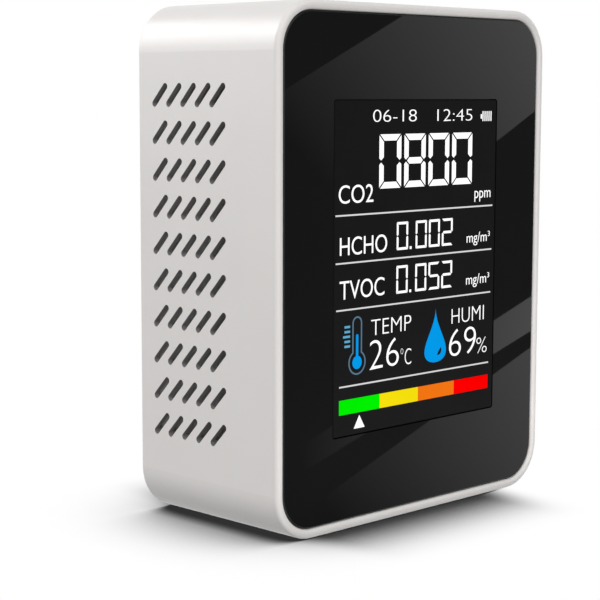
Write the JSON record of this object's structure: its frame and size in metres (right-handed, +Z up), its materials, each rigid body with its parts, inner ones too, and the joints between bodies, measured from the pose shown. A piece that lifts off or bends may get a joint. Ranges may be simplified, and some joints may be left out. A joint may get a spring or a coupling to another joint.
{
  "type": "air quality monitor",
  "caption": "Desktop air quality monitor: rounded upright plastic case with slotted sides, a black front with a colour display, gas sensors, battery and charging socket inside.",
  "frame": {"origin": "middle of the underside, which rests on the table", "axes": "+Z up, -Y out of the display towards the reader, +X to the reader's right"},
  "size_m": [0.07, 0.035, 0.09],
  "materials": {
    "case_plastic": "light warm grey, finely textured satin",
    "button_plastic": "light grey satin",
    "panel_black": "piano black gloss",
    "window_black": "dark anti-glare",
    "adhesive": "double-sided tape",
    "foam_black": "closed-cell foam",
    "polariser": "smoky film",
    "lcd_glass": "clear",
    "optical_film": "milky film",
    "light_guide": "clear acrylic",
    "reflector": "white reflecting film",
    "frame_white": "white polycarbonate",
    "lamp": "white lamp body with yellow phosphor",
    "chip_black": "moulded black epoxy",
    "ribbon_amber": "amber flexible circuit",
    "socket_ivory": "ivory nylon",
    "latch_brown": "dark brown plastic",
    "board_green": "green solder mask",
    "sensor_board_blue": "blue solder mask",
    "tinned_metal": "tinned",
    "crystal_can": "nickel plated",
    "ceramic": "tan ceramic with tinned ends",
    "resistor_black": "black film on ceramic",
    "climate_white": "white moulding",
    "can_nickel": "nickel plated",
    "mesh_steel": "woven steel mesh",
    "cell_white": "white moulding",
    "gilt": "gold plated",
    "filter_white": "porous white membrane",
    "pouch_silver": "laminated foil pouch",
    "guard_tape": "amber tape",
    "wire_red": "soft insulation",
    "wire_black": "soft insulation",
    "carrier_black": "black nylon",
    "inductor_grey": "pressed ferrite",
    "shell_steel": "stamped, bright",
    "plunger_black": "black nylon",
    "screw_steel": "dark plated steel"
  },
  "bodies": {
    "case": {"housing": "case_plastic", "back_cover": "case_plastic", "front_panel": "panel_black", "display_window": "window_black", "panel_adhesive": "adhesive", "display_gasket": "foam_black", "display_pads": "foam_black", "battery_pad": "foam_black", "lcd_front_polariser": "polariser", "lcd_rear_polariser": "polariser", "lcd_front_glass": "lcd_glass", "lcd_rear_glass": "lcd_glass", "prism_sheet": "optical_film", "diffuser_sheet": "optical_film", "light_guide": "light_guide", "reflector_sheet": "reflector", "backlight_frame": "frame_white", "backlight_lamps": "lamp", "lcd_driver_chip": "chip_black", "microcontroller": "chip_black", "charger_chip": "chip_black", "display_ribbon": "ribbon_amber", "ribbon_socket": "socket_ivory", "battery_socket": "socket_ivory", "battery_plug": "socket_ivory", "ribbon_latch": "latch_brown", "main_board": "board_green", "power_board": "board_green", "co2_sensor_board": "sensor_board_blue", "microcontroller_leads": "tinned_metal", "charger_chip_leads": "tinned_metal", "voc_sensor_pins": "tinned_metal", "formaldehyde_pins": "tinned_metal", "crystal": "crystal_can", "chip_capacitors": "ceramic", "chip_resistors": "resistor_black", "climate_sensor": "climate_white", "voc_sensor_can": "can_nickel", "voc_sensor_mesh": "mesh_steel", "formaldehyde_cell": "cell_white", "co2_sensor_chamber": "gilt", "co2_sensor_pins": "gilt", "link_pins": "gilt", "usb_contacts": "gilt", "co2_sensor_filters": "filter_white", "battery_cell": "pouch_silver", "battery_guard": "guard_tape", "battery_lead_red": "wire_red", "battery_lead_black": "wire_black", "link_carrier": "carrier_black", "usb_tongue": "carrier_black", "switch_body": "carrier_black", "power_inductor": "inductor_grey", "usb_shell": "shell_steel", "switch_face": "shell_steel", "cover_screws": "screw_steel", "board_screws": "screw_steel", "power_board_screws": "screw_steel"},
    "button": {"power_button": "button_plastic", "switch_plunger": "plunger_black"}
  },
  "joints": [
    {"name": "power_button_press", "type": "slide", "parent": "case", "child": "button", "axis": [0, -1, 0], "range_m": [0, 0.0003], "stiffness_N_per_m": 1500, "springref_m": -0.0003}
  ]
}
